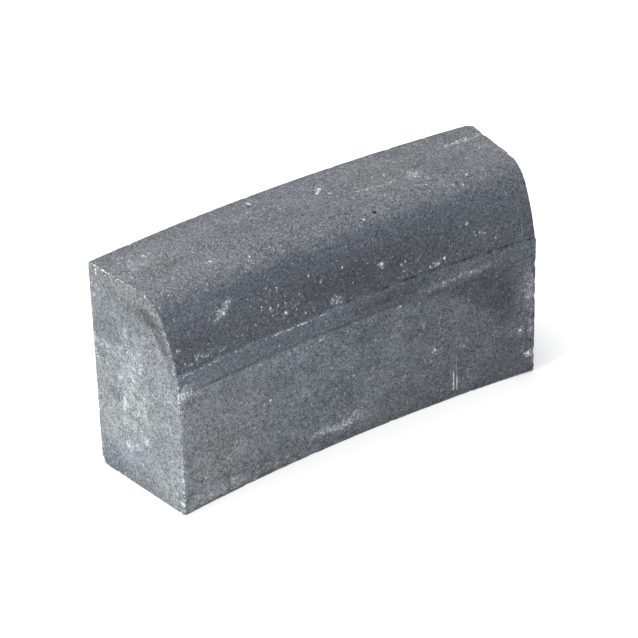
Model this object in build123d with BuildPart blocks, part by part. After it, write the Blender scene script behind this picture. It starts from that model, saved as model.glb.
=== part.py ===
from build123d import *
import math
import os

# Radius kerb stone: a curved concrete edging stone with a concave front face,
# made of a coarse core under a fine facing layer.
# Frame: X along the chord, -Y towards the concave front face, +Z up,
# origin at the middle of the bounding box in plan, on the bed plane.
# Millimetres. Section points are (distance back from the front face, height above the bed).

# ---- overall size ----
width = 140.0            # front face to back face, along a radius
height = 250.0           # bed to flat top
inner_radius = 2000.0    # plan radius of the concave front face
outer_arc = 500.0        # developed length of the convex back face
arris = 2.0              # rounding of section corners

# ---- upper front profile, section points from the bottom up ----
seam = (0, 170.6)             # top of the vertical front face, where the mould parts meet
ledge = (2.2, 171.8)          # small step back at the mould line
flank_mid = (7.3, 192.0)      # point on the slowly curving battered flank
flank_top = (16.5, 216.0)     # end of the curved flank
batter_end = (23.3, 230.0)    # end of the straight batter, start of the nose rounding
nose_start_deg = 32.0         # lean of the nose rounding at its start, from the vertical
nose_end = (54.8, height)     # where the nose rounding runs out into the flat top

# ---- joint between the facing layer and the core, section points ----
joint_front = (0, 147.0)
joint_curve = [               # front to back, between the front face and the level part
    (9.0, 166.0),
    (20.0, 185.5),
    (28.0, 198.5),
    (36.5, 210.0),
    (48.0, 220.5),
]
joint_back = (width, 226.0)
joint_level = (64.0, joint_back[1])    # behind this the joint is level
joint_front_tangent = (-0.38, -0.92)   # direction in which it meets the front face

# ---- placing of the section in plan ----
sector = math.degrees(outer_arc / (inner_radius + width))  # angle between the end faces
half = math.radians(sector / 2)
# The front end corners stand forward (-Y) of the middle of the front face.
front_corner_y = -inner_radius * (1 - math.cos(half))
centre_y = -inner_radius - (width + front_corner_y) / 2

arc_axis = Axis((0, centre_y, 0), (0, 0, 1))
# Section plane at the +X end face: local x is the radius, local y is the height.
end_plane = Plane(
    origin=(0, centre_y, 0),
    x_dir=(math.sin(half), math.cos(half), 0),
    z_dir=(math.cos(half), -math.sin(half), 0),
)


def on_section(point):
    """Turn a section point into radius and height on the end plane."""
    return (inner_radius + point[0], point[1])


def draw_lines(*points):
    """Add straight lines through section points to the open BuildLine."""
    for start, end in zip(points, points[1:]):
        Line(on_section(start), on_section(end))


def draw_joint():
    """Add the joint, from back to front, to the open BuildLine."""
    draw_lines(joint_back, joint_level)
    Spline(
        on_section(joint_level),
        *[on_section(point) for point in reversed(joint_curve)],
        on_section(joint_front),
        tangents=((-1, 0), joint_front_tangent),
    )


def make_facing_layer():
    """Fine mix over the front band, flank, nose and top."""
    nose_lean = math.radians(nose_start_deg)
    with BuildPart() as layer:
        with BuildSketch(end_plane) as section:
            with BuildLine():
                draw_lines(joint_front, seam, ledge)
                ThreePointArc(
                    on_section(ledge), on_section(flank_mid), on_section(flank_top)
                )
                draw_lines(flank_top, batter_end)
                TangentArc(
                    on_section(batter_end),
                    on_section(nose_end),
                    tangent=(math.sin(nose_lean), math.cos(nose_lean)),
                )
                draw_lines(nose_end, (width, height), joint_back)
                draw_joint()
            make_face()
            # Selectors read sketch coordinates: Y is height here and Z is 0 throughout.
            fillet(section.vertices().group_by(Axis.Z)[-1].sort_by(Axis.Y)[-1], radius=arris)
        revolve(axis=arc_axis, revolution_arc=sector)
    return layer.part


def make_core_concrete():
    """Coarse backing mix that makes up the body."""
    with BuildPart() as core:
        with BuildSketch(end_plane) as section:
            with BuildLine():
                draw_lines(joint_front, (0, 0), (width, 0), joint_back)
                draw_joint()
            make_face()
            # Z is 0 throughout the sketch, so its lowest group holds every vertex.
            fillet(section.vertices().group_by(Axis.Z)[0], radius=arris)
        revolve(axis=arc_axis, revolution_arc=sector)
    return core.part


# ---- one STEP per piece ----
pieces = {
    "facing_layer": make_facing_layer(),
    "core_concrete": make_core_concrete(),
}
os.makedirs("parts", exist_ok=True)
for name, piece in pieces.items():
    piece.label = name
    export_step(piece, f"parts/{name}.step")
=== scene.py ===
import math

import bpy
import numpy as np
from mathutils import Matrix, Vector
from mathutils.geometry import delaunay_2d_cdt


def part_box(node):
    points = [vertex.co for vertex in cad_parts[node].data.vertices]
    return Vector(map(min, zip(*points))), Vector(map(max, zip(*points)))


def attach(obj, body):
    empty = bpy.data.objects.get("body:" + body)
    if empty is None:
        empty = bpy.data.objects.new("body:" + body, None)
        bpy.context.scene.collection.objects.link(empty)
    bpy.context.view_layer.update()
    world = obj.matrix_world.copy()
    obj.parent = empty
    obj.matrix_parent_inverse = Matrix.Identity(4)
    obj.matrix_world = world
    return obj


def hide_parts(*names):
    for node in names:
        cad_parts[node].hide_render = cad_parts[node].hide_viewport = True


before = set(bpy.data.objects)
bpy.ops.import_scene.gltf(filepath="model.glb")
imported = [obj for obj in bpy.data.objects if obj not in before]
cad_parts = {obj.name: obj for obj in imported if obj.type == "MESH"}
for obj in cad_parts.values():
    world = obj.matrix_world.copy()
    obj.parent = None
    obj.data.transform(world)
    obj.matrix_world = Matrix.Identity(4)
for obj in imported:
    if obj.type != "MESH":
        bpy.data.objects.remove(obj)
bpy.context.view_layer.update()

# ------------------------------------------------------------------ sizes
# The stone is a sector of a ring. Its plan comes from the CAD box and the section width.
# All lengths below are millimetres; meshes are written in metres.
corners = np.array([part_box(n) for n in sorted(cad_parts)])
lo, hi = corners[:, 0].min(0) * 1000.0, corners[:, 1].max(0) * 1000.0
WIDTH = 140.0
HEIGHT = hi[2] - lo[2]
chord, depth = hi[0] - lo[0], hi[1] - lo[1]
a0, a1 = 0.02, 0.5
for _ in range(60):  # half the sector angle: (c / sin h - w)(1 - cos h) = depth - w
    h = (a0 + a1) / 2
    if (chord / 2 / math.sin(h) - WIDTH) * (1 - math.cos(h)) > depth - WIDTH:
        a1 = h
    else:
        a0 = h
HALF = (a0 + a1) / 2
R_IN = chord / 2 / math.sin(HALF) - WIDTH
X0, Z0 = (lo[0] + hi[0]) / 2, lo[2]
Y0 = hi[1] - R_IN - WIDTH  # axis of the two arcs

LAYER_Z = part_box("facing_layer")[0].z * 1000.0 - Z0      # lower edge of the skin on the front
CORE_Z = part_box("core_concrete")[1].z * 1000.0 - Z0      # underside of the skin at the back

SEAM_Z, LEDGE_IN, LEDGE_Z = 170.6, 2.2, 171.8
FLANK_MID, FLANK_TOP, BATTER_END, NOSE_END_Y = (7.3, 192.0), (16.5, 216.0), (23.3, 230.0), 54.8
LAYER_LINE = [(9.0, 166.0), (20.0, 185.5), (28.0, 198.5), (36.5, 210.0), (48.0, 220.5)]
LAYER_FLAT_Y = 64.0
ARRIS, END_ARRIS = 2.0, 1.1


# ------------------------------------------------------------------ seeded noise
_rng = np.random.RandomState(7)
_perm = np.tile(_rng.permutation(256), 3)
_grad = _rng.normal(size=(256, 3))
_grad /= np.linalg.norm(_grad, axis=1)[:, None]


def perlin(p, seed=0):
    p = p + np.array([13.7, 7.3, 29.1]) * seed + 511.5
    i = np.floor(p).astype(np.int64)
    f = p - i
    i &= 255
    u = f * f * f * (f * (f * 6 - 15) + 10)
    out = np.zeros(len(p))
    for dx in (0, 1):
        for dy in (0, 1):
            for dz in (0, 1):
                g = _grad[_perm[_perm[_perm[(i[:, 0] + dx) & 255] + ((i[:, 1] + dy) & 255)] + ((i[:, 2] + dz) & 255)]]
                d = ((f - np.array([dx, dy, dz])) * g).sum(1)
                w = (u[:, 0] if dx else 1 - u[:, 0]) * (u[:, 1] if dy else 1 - u[:, 1]) * (u[:, 2] if dz else 1 - u[:, 2])
                out += w * d
    return out * 1.5


def fbm(p, size, octaves=3, seed=0, gain=0.5):
    out, amp, total = np.zeros(len(p)), 1.0, 0.0
    for o in range(octaves):
        out += amp * perlin(p * (2.0 ** o / size), seed + 5 * o)
        total += amp
        amp *= gain
    return out / total


def smooth(x, a, b):
    t = np.clip((x - a) / (b - a), 0, 1)
    return t * t * (3 - 2 * t)


# ------------------------------------------------------------------ the section outline
def circle3(p, q, r):
    ax, ay, bx, by, cx, cy = *p, *q, *r
    d = 2 * (ax * (by - cy) + bx * (cy - ay) + cx * (ay - by))
    ux = ((ax**2 + ay**2) * (by - cy) + (bx**2 + by**2) * (cy - ay) + (cx**2 + cy**2) * (ay - by)) / d
    uy = ((ax**2 + ay**2) * (cx - bx) + (bx**2 + by**2) * (ax - cx) + (cx**2 + cy**2) * (bx - ax)) / d
    return np.array([ux, uy]), math.hypot(ax - ux, ay - uy)


def arc_points(c, r, p, q, step):
    a, b = math.atan2(p[1] - c[1], p[0] - c[0]), math.atan2(q[1] - c[1], q[0] - c[0])
    if a - b > math.pi:
        b += 2 * math.pi
    if b - a > math.pi:
        a += 2 * math.pi
    n = max(2, int(math.ceil(abs(b - a) * r / step)))
    t = np.linspace(a, b, n + 1)
    return np.stack([c[0] + r * np.cos(t), c[1] + r * np.sin(t)], 1)


def line_points(p, q, step):
    n = max(1, int(round(math.hypot(q[0] - p[0], q[1] - p[1]) / step)))
    t = np.linspace(0, 1, n + 1)[:, None]
    return np.array(p) * (1 - t) + np.array(q) * t


def nose_arc():
    """The rounding that leaves the batter end and lands level on the flat top."""
    p, q = np.array(BATTER_END), np.array([NOSE_END_Y, HEIGHT])
    tx, ty = math.sin(math.radians(32)), math.cos(math.radians(32))
    n = np.array([ty, -tx])  # towards the inside
    d = q - p
    r = (d @ d) / (2 * (d @ n))
    return p + r * n, r


# rows run up the front from the skin's lower edge, over the top, down the back, under the bed and up again
rows, tags = [], []


def add(points, tag):
    points = points[1:] if rows else points
    rows.extend(points.tolist())
    tags.extend([tag] * len(points))


FRONT, CURVE, BACK, BED = 0, 1, 2, 3
add(line_points((0, LAYER_Z), (0, 167.0), 1.45), FRONT)
add(line_points((0, 167.0), (0, SEAM_Z - 0.5), 0.6), FRONT)
add(np.array([(0, SEAM_Z - 0.5), (0.12, SEAM_Z - 0.1), (0.45, SEAM_Z + 0.15), (0.95, SEAM_Z + 0.42), (1.5, SEAM_Z + 0.72), (1.95, LEDGE_Z - 0.2), (LEDGE_IN, LEDGE_Z + 0.25)]), FRONT)
c, r = circle3((LEDGE_IN, LEDGE_Z), FLANK_MID, FLANK_TOP)
flank = arc_points(c, r, (LEDGE_IN, LEDGE_Z), FLANK_TOP, 1.0)
flank = flank[flank[:, 1] > LEDGE_Z + 0.7]
keep = [i for i in range(len(flank)) if flank[i, 1] < 175 or i % 3 != 1]
add(np.vstack([rows[-1], flank[keep]]), CURVE)
add(line_points(FLANK_TOP, BATTER_END, 1.4), CURVE)
c, r = nose_arc()
add(arc_points(c, r, BATTER_END, (NOSE_END_Y, HEIGHT), 1.35), CURVE)
add(line_points((NOSE_END_Y, HEIGHT), (WIDTH - ARRIS, HEIGHT), 1.55), CURVE)
add(arc_points((WIDTH - ARRIS, HEIGHT - ARRIS), ARRIS, (WIDTH - ARRIS, HEIGHT), (WIDTH, HEIGHT - ARRIS), 0.7), CURVE)
add(line_points((WIDTH, HEIGHT - ARRIS), (WIDTH, CORE_Z), 2.3), BACK)
N_SKIN = len(rows) - 1  # row index of the back boundary
add(line_points((WIDTH, CORE_Z), (WIDTH, ARRIS), 2.5), BACK)
add(arc_points((WIDTH - ARRIS, ARRIS), ARRIS, (WIDTH, ARRIS), (WIDTH - ARRIS, 0), 0.8), BED)
add(line_points((WIDTH - ARRIS, 0), (ARRIS, 0), 4.2), BED)
add(arc_points((ARRIS, ARRIS), ARRIS, (ARRIS, 0), (0, ARRIS), 0.7), BED)
add(line_points((0, ARRIS), (0, LAYER_Z), 1.5), FRONT)
rows, tags = np.array(rows[:-1]), np.array(tags[:-1])
M = len(rows)

# outward normals from the two neighbouring edges
edge = np.roll(rows, -1, 0) - rows
en = np.stack([-edge[:, 1], edge[:, 0]], 1)
en /= np.maximum(np.linalg.norm(en, axis=1), 1e-9)[:, None]
row_n = en + np.roll(en, 1, 0)
row_n /= np.linalg.norm(row_n, axis=1)[:, None]
seg = np.hypot(*edge.T)
row_len = np.r_[0, np.cumsum(seg)[:-1]]
# the end arrises step in along a smoother normal, so that the small lip at the seam doesn't fold
gap = np.abs(row_len[:, None] - row_len[None, :])
gap = np.minimum(gap, seg.sum() - gap)
weight = np.exp(-(gap / 2.2) ** 2) * seg[None, :]
inset_n = weight @ row_n
inset_n /= np.linalg.norm(inset_n, axis=1)[:, None]
# distance along the outline from the seam, which places marks on the flank and top
seam_row = int(np.argmin(np.hypot(rows[:N_SKIN, 0] - LEDGE_IN, rows[:N_SKIN, 1] - LEDGE_Z)))
row_u = row_len - row_len[seam_row]


# ------------------------------------------------------------------ columns along the length
PHI = np.radians([0, 25, 48, 70, 90])
N_IN = 284
cols = []  # (kind, value, phi): kind -1 and 1 are the rounded arrises at the two ends
for ph in PHI[::-1]:
    cols.append((-1, END_ARRIS * (1 - math.sin(ph)), ph))
for t in np.linspace(-1, 1, N_IN + 1)[1:-1]:
    cols.append((0, t, 0.0))
for ph in PHI:
    cols.append((1, END_ARRIS * (1 - math.sin(ph)), ph))
K = len(cols)


def theta_of(kind, value, radius):
    if kind == 0:
        return value * (HALF - END_ARRIS / radius)
    return kind * (HALF - value / radius)


# the skin's lower edge wanders a little along the length, as hand-placed mix does
def wander_front(s):
    p = np.stack([s, 0 * s, 0 * s], 1)
    return 1.3 * fbm(p, 90, 2, 3) + 0.5 * fbm(p, 18, 2, 9)


def wander_back(s):
    p = np.stack([s, 0 * s + 50, 0 * s], 1)
    return 2.2 * fbm(p, 70, 3, 5)


def shifted_rows(s):
    """Section points at arc position s, with the two boundary rows moved and the rows between spread evenly."""
    df, db = wander_front(np.array([s]))[0], wander_back(np.array([s]))[0]
    p = rows.copy()
    z = p[:, 1]
    f = (p[:, 0] < 0.01) & (z > ARRIS - 0.01)
    up, down = f & (z >= LAYER_Z), f & (z < LAYER_Z)
    zn = z.copy()
    zn[up] = np.where(z[up] < 166, LAYER_Z + df + (z[up] - LAYER_Z) * (166 - LAYER_Z - df) / (166 - LAYER_Z), z[up])
    zn[down] = ARRIS + (z[down] - ARRIS) * (LAYER_Z + df - ARRIS) / (LAYER_Z - ARRIS)
    b = (tags == BACK)
    ub, lb = b & (z >= CORE_Z), b & (z < CORE_Z)
    zn[ub] = HEIGHT - ARRIS - (HEIGHT - ARRIS - z[ub]) * (HEIGHT - ARRIS - CORE_Z - db) / (HEIGHT - ARRIS - CORE_Z)
    zn[lb] = ARRIS + (z[lb] - ARRIS) * (CORE_Z + db - ARRIS) / (CORE_Z - ARRIS)
    p[:, 1] = zn
    return p


# ------------------------------------------------------------------ base grid: K columns by M rows
V = {k: [] for k in ("y", "z", "th", "s", "u", "nt", "nr", "nz", "tag", "de", "side")}
for kind, value, ph in cols:
    s_mid = theta_of(kind, value, R_IN) * R_IN
    p = shifted_rows(s_mid)
    inset = END_ARRIS * (1 - math.cos(ph))
    p = p - inset_n * inset
    radius = R_IN + p[:, 0]
    th = np.array([theta_of(kind, value, x) for x in radius])
    V["y"].append(p[:, 0]); V["z"].append(p[:, 1]); V["th"].append(th)
    V["s"].append(th * R_IN); V["u"].append(row_u)
    V["nt"].append(np.full(M, kind * math.sin(ph)))
    V["nr"].append(row_n[:, 0] * math.cos(ph)); V["nz"].append(row_n[:, 1] * math.cos(ph))
    V["tag"].append(tags); V["side"].append(np.full(M, 0))
    V["de"].append((HALF - np.abs(th)) * radius)
grid = {k: np.array(v, float) for k, v in V.items()}  # each K by M
outline_n = np.tile(row_n, (K, 1, 1))


# ------------------------------------------------------------------ end caps, as two triangulated regions meeting on the skin line
def layer_curve(n=28):
    """Underside of the skin from the front boundary to the back boundary, with its own waviness left out at the ends."""
    pts = np.array([(0, LAYER_Z)] + LAYER_LINE + [(LAYER_FLAT_Y, CORE_Z), (92, CORE_Z), (WIDTH, CORE_Z)], float)
    d = np.r_[0, np.cumsum(np.hypot(*np.diff(pts, axis=0).T))]
    t = np.linspace(0, d[-1], n + 1)
    # Catmull-Rom through the points, so that the line has no corners
    out = []
    for x in t:
        i = min(max(int(np.searchsorted(d, x) - 1), 0), len(d) - 2)
        p1, p2 = pts[i], pts[i + 1]
        p0 = pts[i - 1] if i > 0 else 2 * p1 - p2
        p3 = pts[i + 2] if i + 2 < len(pts) else 2 * p2 - p1
        q = (x - d[i]) / (d[i + 1] - d[i])
        out.append(0.5 * (2 * p1 + (p2 - p0) * q + (2 * p0 - 5 * p1 + 4 * p2 - p3) * q * q + (3 * p1 - p0 - 3 * p2 + p3) * q**3))
    return np.array(out)


LAYER = layer_curve()
LAYER_T = np.linspace(0, 1, len(LAYER))
LAYER_NRM = np.gradient(LAYER, axis=0)
LAYER_NRM = np.stack([-LAYER_NRM[:, 1], LAYER_NRM[:, 0]], 1) / np.linalg.norm(LAYER_NRM, axis=1)[:, None]


def layer_at(s, front, back):
    """The skin's underside at arc position s, pulled at its ends to the given boundary points."""
    p = LAYER.copy()
    t = LAYER_T
    q = np.stack([np.full(len(t), s), p[:, 0], p[:, 1]], 1)
    bump = 2.6 * fbm(q, 34, 3, 11) + 0.9 * fbm(q, 9, 2, 12)
    p = p + LAYER_NRM * (bump * np.sin(np.pi * t) ** 0.7)[:, None]
    p = p + ((1 - t) ** 6)[:, None] * (front - p[0]) + (t ** 6)[:, None] * (back - p[-1])
    return p


layer_grid = np.zeros((K, len(LAYER), 2))
for k in range(K):
    s = grid["s"][k, 0]
    layer_grid[k] = layer_at(s, np.array([grid["y"][k, 0], grid["z"][k, 0]]), np.array([grid["y"][k, N_SKIN], grid["z"][k, N_SKIN]]))


def inside(poly, pts):
    x, y = pts.T
    c = np.zeros(len(pts), bool)
    a, b = poly, np.roll(poly, -1, 0)
    for (xa, ya), (xb, yb) in zip(a, b):
        hit = ((ya > y) != (yb > y)) & (x < (xb - xa) * (y - ya) / (yb - ya + 1e-12) + xa)
        c ^= hit
    return c


def cap_region(boundary, step, seed):
    """Triangles over a closed outline: the outline's own points first, then jittered points inside."""
    rng = np.random.RandomState(seed)
    ys = np.arange(-1, WIDTH + 1, step)
    zs = np.arange(-1, HEIGHT + 1, step * 0.866)
    g = np.array([(y + (step / 2 if j % 2 else 0), z) for j, z in enumerate(zs) for y in ys])
    g += rng.uniform(-0.22, 0.22, g.shape) * step
    g = g[inside(boundary, g)]
    near = np.full(len(g), 1e9)
    dense = []
    for a, b in zip(boundary, np.roll(boundary, -1, 0)):
        n = max(1, int(np.hypot(*(b - a)) / 0.8))
        dense.extend(a + (b - a) * i / n for i in range(n))
    dense = np.array(dense)
    for i in range(0, len(g), 2000):
        near[i:i + 2000] = np.sqrt(((g[i:i + 2000, None] - dense[None]) ** 2).sum(2)).min(1)
    g = g[near > step * 0.62]
    n = len(boundary)
    pts = np.vstack([boundary, g])
    res = delaunay_2d_cdt([Vector(p) for p in pts], [(i, (i + 1) % n) for i in range(n)], [list(range(n))], 1, 1e-6, True)
    verts, faces, orig = res[0], res[2], res[3]
    index = [o[0] if o else -1 for o in orig]
    if -1 in index or len(set(index)) != len(index):
        raise RuntimeError("the end face didn't triangulate cleanly")
    tri = np.array([[index[i] for i in f] for f in faces])
    tri = tri[inside(boundary, pts[tri].mean(1))]
    if len(tri) != 2 * len(pts) - n - 2:
        raise RuntimeError("the end face has a gap or a double triangle")
    return g, tri


# ------------------------------------------------------------------ one vertex list: grid, skin underside, cap interiors
nG = K * M
y = [grid["y"].ravel()]; z = [grid["z"].ravel()]; th = [grid["th"].ravel()]
nt = [grid["nt"].ravel()]; nr = [grid["nr"].ravel()]; nz = [grid["nz"].ravel()]
tag = [grid["tag"].ravel()]; u_ = [grid["u"].ravel()]
pn = [outline_n.reshape(-1, 2)]  # outline normal nearest to each vertex


def gid(k, m):
    return k * M + (m % M)


# skin underside: inner points only, the two boundary rows are the grid's own
L = len(LAYER)
nI = K * (L - 2)
lay = layer_grid[:, 1:-1, :].reshape(-1, 2)
lay_th = np.array([[theta_of(kind, value, R_IN + layer_grid[k, j, 0]) for j in range(1, L - 1)] for k, (kind, value, ph) in enumerate(cols)])
y.append(lay[:, 0]); z.append(lay[:, 1]); th.append(lay_th.ravel())
end_col = np.zeros((K, L - 2)); end_col[0], end_col[-1] = -1, 1
nt.append(end_col.ravel()); nr.append(np.zeros(nI)); nz.append(np.zeros(nI))
tag.append(np.where(end_col.ravel() < 0, 4, np.where(end_col.ravel() > 0, 5, 6))); u_.append(np.zeros(nI))
pn.append(np.zeros((nI, 2)))


def lid(k, j):
    """Vertex of the skin underside: j from 0 at the front boundary to L-1 at the back."""
    if j == 0:
        return gid(k, 0)
    if j == L - 1:
        return gid(k, N_SKIN)
    return nG + k * (L - 2) + (j - 1)


cap_faces = {"skin": [], "core": []}
count = nG + nI
for side, k in ((-1, 0), (1, K - 1)):
    skin_ids = [gid(k, m) for m in range(0, N_SKIN + 1)] + [lid(k, j) for j in range(L - 2, 0, -1)]
    core_ids = [gid(k, m) for m in range(N_SKIN, M)] + [gid(k, 0)] + [lid(k, j) for j in range(1, L - 1)]
    for name, ids, step, seed in (("skin", skin_ids, 1.5, 21), ("core", core_ids, 1.72, 22)):
        all_y, all_z = np.concatenate(y), np.concatenate(z)
        b = np.stack([all_y[ids], all_z[ids]], 1)
        g, tri = cap_region(b, step, seed + side)
        n = len(b)
        lut = np.concatenate([np.array(ids), count + np.arange(len(g))])
        tri = lut[tri]
        # wind outwards: radius cross height points along +theta
        qa = np.vstack([np.stack([all_y, all_z], 1), g])
        e1, e2 = qa[tri[:, 1]] - qa[tri[:, 0]], qa[tri[:, 2]] - qa[tri[:, 0]]
        area2 = e1[:, 0] * e2[:, 1] - e1[:, 1] * e2[:, 0]
        want = 1 if side > 0 else -1
        flip = np.sign(area2) != want
        tri[flip] = tri[flip][:, [0, 2, 1]]
        cap_faces[name].append(tri)
        y.append(g[:, 0]); z.append(g[:, 1])
        th.append(np.full(len(g), side * HALF))
        nt.append(np.full(len(g), float(side))); nr.append(np.zeros(len(g))); nz.append(np.zeros(len(g)))
        tag.append(np.full(len(g), 4.0 if side < 0 else 5.0)); u_.append(np.zeros(len(g)))
        pn.append(np.zeros((len(g), 2)))
        count += len(g)

y, z, th, nt, nr, nz, tag, u_ = (np.concatenate(a) for a in (y, z, th, nt, nr, nz, tag, u_))
pn = np.concatenate(pn)
tag = tag.astype(int)
s = th * R_IN
NV = len(y)
on_cap = np.isin(tag, (4, 5)) | (np.arange(NV) < M) | ((np.arange(NV) >= nG - M) & (np.arange(NV) < nG))
side = np.sign(th)
dist_end = (HALF - np.abs(th)) * (R_IN + y)

# distance from each vertex to the outline, and the outline normal there
d_out = np.zeros(NV)
inner = np.where((np.abs(pn).sum(1) == 0))[0]
for i in range(0, len(inner), 3000):
    ids = inner[i:i + 3000]
    dd = (y[ids, None] - rows[None, :, 0]) ** 2 + (z[ids, None] - rows[None, :, 1]) ** 2
    j = dd.argmin(1)
    d_out[ids] = np.sqrt(dd[np.arange(len(ids)), j])
    pn[ids] = row_n[j]

P3 = np.stack([s * (R_IN + y) / R_IN, y, z], 1)  # unrolled position, for even noise

# ------------------------------------------------------------------ shape detail
smooth_skin = np.where((tag == CURVE), 1.0, 0.0) * smooth(u_, 92, 70)   # the mould-polished flank and nose
band = ((tag == FRONT) & (z > LAYER_Z - 1)).astype(float)
rough = np.where(tag == FRONT, 0.8, 1.0) * (1 - 0.55 * smooth_skin) * (1 - 0.5 * band)
inward = 0.22 + 0.20 * fbm(P3, 85, 2, 1)
inward += rough * (0.14 * fbm(P3, 16, 3, 2) + 0.16 * fbm(P3, 5.0, 2, 4))
inward += np.where(tag >= 4, 0.12 * np.abs(fbm(P3, 7, 2, 8)), 0)

# blow holes: small round pits
rng = np.random.RandomState(5)
pit = np.zeros(NV)


def pits(where, lo_, hi_, n, r_lo, r_hi, d_lo, d_hi, fixed=None):
    ids = np.where(where)[0]
    q = P3[ids]
    for _ in range(n):
        c_ = np.array([rng.uniform(a, b) for a, b in zip(lo_, hi_)])
        rr, dd = rng.uniform(r_lo, r_hi), rng.uniform(d_lo, d_hi)
        free = [i for i in range(3) if lo_[i] != hi_[i]]
        t = 1 - ((q[:, free] - c_[free]) ** 2).sum(1) / rr**2
        pit[ids] = np.maximum(pit[ids], dd * np.clip(t, 0, 1) ** 0.7)


LEN = HALF * R_IN
pits(tag == FRONT, (-LEN, 0, 4), (LEN, 0, 144), 70, 1.6, 2.6, 0.4, 1.0)
pits(tag == BACK, (-LEN, WIDTH, 4), (LEN, WIDTH, 244), 110, 1.8, 3.6, 0.5, 1.4)
pits(tag == 4, (0, 4, 4), (0, 136, 240), 60, 1.6, 3.0, 0.4, 1.1)
pits(tag == 5, (0, 4, 4), (0, 136, 240), 60, 1.6, 3.0, 0.4, 1.1)
pits((tag == CURVE) & (u_ > 85), (-LEN, 62, 0), (LEN, 136, 0), 45, 1.4, 2.2, 0.3, 0.8)
pits(tag == BED, (-LEN, 4, 0), (LEN, 136, 0), 50, 2.4, 4.0, 0.6, 1.6)
pore = np.where(tag == CURVE, np.clip(1.25 - np.hypot(s - 51, u_ - 82) / 1.7, 0, 1), 0)
inward += pit + 1.3 * pore

# the mould seam: a burr of squeezed-out paste on the left half, a ragged crease on the right
seam = (tag == FRONT) & (z > 160) | (tag == CURVE) & (z < 176)
along = np.stack([s, np.zeros(NV), np.zeros(NV)], 1)
burr_here = smooth(s, -205, -110) * smooth(s, 20, -40)
burr = burr_here * (0.5 + 0.6 * fbm(along, 9, 3, 31)) * np.exp(-((z - 169.6) / 1.1) ** 2)
burr += 0.5 * np.clip(fbm(along, 6, 2, 33), 0, 1) * np.exp(-((z - 169.9) / 0.9) ** 2)
crease = smooth(s, -30, 60) * np.clip(0.10 + 1.9 * fbm(along, 5, 2, 32), 0, 1) * np.exp(-((z - 172.0 - 0.6 * fbm(along, 12, 2, 34)) / 0.9) ** 2)
inward += np.where(seam, 1.0 * crease - 0.75 * np.clip(burr, 0, 2), 0)
# the skin's lower edge shows on the front as a slight step
step_line = wander_front(s)
zl = z - (LAYER_Z + step_line)
inward += np.where(tag == FRONT, -0.16 * smooth(zl, -1.0, 2.0) * smooth(s, 90, 10), 0)
inward = np.where(tag == 6, 0, inward)
inward = np.where(tag == BED, np.maximum(inward, 0.0), inward)

# vector wear: arrises and chips move both faces together, so nothing folds
vt, vr, vz = -nt * inward, -nr * inward, -nz * inward
worn = np.zeros(NV)


def wear(amount, wt, wr, wz):
    n = np.sqrt(wt**2 + wr**2 + wz**2)
    n = np.maximum(n, 1e-9)
    global vt, vr, vz, worn
    vt, vr, vz = vt - amount * wt / n, vr - amount * wr / n, vz - amount * wz / n
    worn = np.maximum(worn, amount)


e_dist = np.sqrt(dist_end**2 + d_out**2)
nick = np.clip(fbm(P3, 16, 3, 41) * 1.6 - 0.05, 0, 1) ** 1.3
fine = np.clip(fbm(P3, 5, 2, 42) * 1.2 + 0.12, 0, 1)
wear((0.60 * nick + 0.34 * fine) * np.exp(-(e_dist / 2.4) ** 2), side, pn[:, 0], pn[:, 1])
for (ey, ez, by, bz, k1) in ((0, 0, -1, -1, 0.8), (WIDTH, 0, 1, -1, 1.6), (WIDTH, HEIGHT, 1, 1, 0.9)):
    dl = np.hypot(y - ey, z - ez)
    wear(k1 * (0.50 * nick + 0.30 * fine) * np.exp(-(dl / 2.6) ** 2), 0 * s, np.full(NV, by), np.full(NV, bz))

half_of = lambda yy: HALF * (R_IN + yy)
CHIPS = [  # end (-1 left, 0 along the length, 1 right), position along the length when 0, y, z, reach, depth
    (-1, 0, 0, 150, 7, 0.9), (-1, 0, 0, 141, 4, 0.7), (-1, 0, 0, 96, 4, 0.5), (-1, 0, 0, 14, 5, 0.7), (-1, 0, 0, 1, 4, 0.8), (-1, 0, WIDTH, 250, 4, 0.6),
    (-1, 0, WIDTH, 1, 10, 2.3), (-1, 0, WIDTH, 157, 5, 0.6), (-1, 0, 92, 250, 4, 0.5), (-1, 0, 22, 228, 3, 0.4),
    (1, 0, 0, 140, 7, 1.2), (1, 0, 0, 118, 5, 0.7), (1, 0, 0, 98, 5, 0.8), (1, 0, 0, 66, 4, 0.5), (1, 0, 0, 27, 6, 0.9), (1, 0, 0, 3, 4, 0.7),
    (1, 0, WIDTH, 250, 9, 1.9), (1, 0, 112, 250, 7, 0.8), (1, 0, 78, 250, 5, 0.5), (1, 0, 56, 249, 10, 1.3), (1, 0, WIDTH, 3, 8, 1.6), (1, 0, WIDTH, 120, 7, 1.1),
    (0, -182, WIDTH, 250, 5, 0.5), (0, -104, WIDTH, 250, 5, 0.5), (0, -41, WIDTH, 250, 6, 0.6), (0, 63, WIDTH, 250, 5, 0.5), (0, 131, WIDTH, 250, 6, 0.7),
    (0, 176, WIDTH, 250, 5, 0.5), (0, -150, 0, 0, 5, 0.5), (0, -62, 0, 0, 6, 0.6), (0, 44, 0, 0, 5, 0.5), (0, 148, 0, 0, 6, 0.6),
    (0, -120, WIDTH, 0, 10, 1.8), (0, 30, WIDTH, 0, 12, 2.0), (0, 170, WIDTH, 0, 9, 1.6),
]
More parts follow.
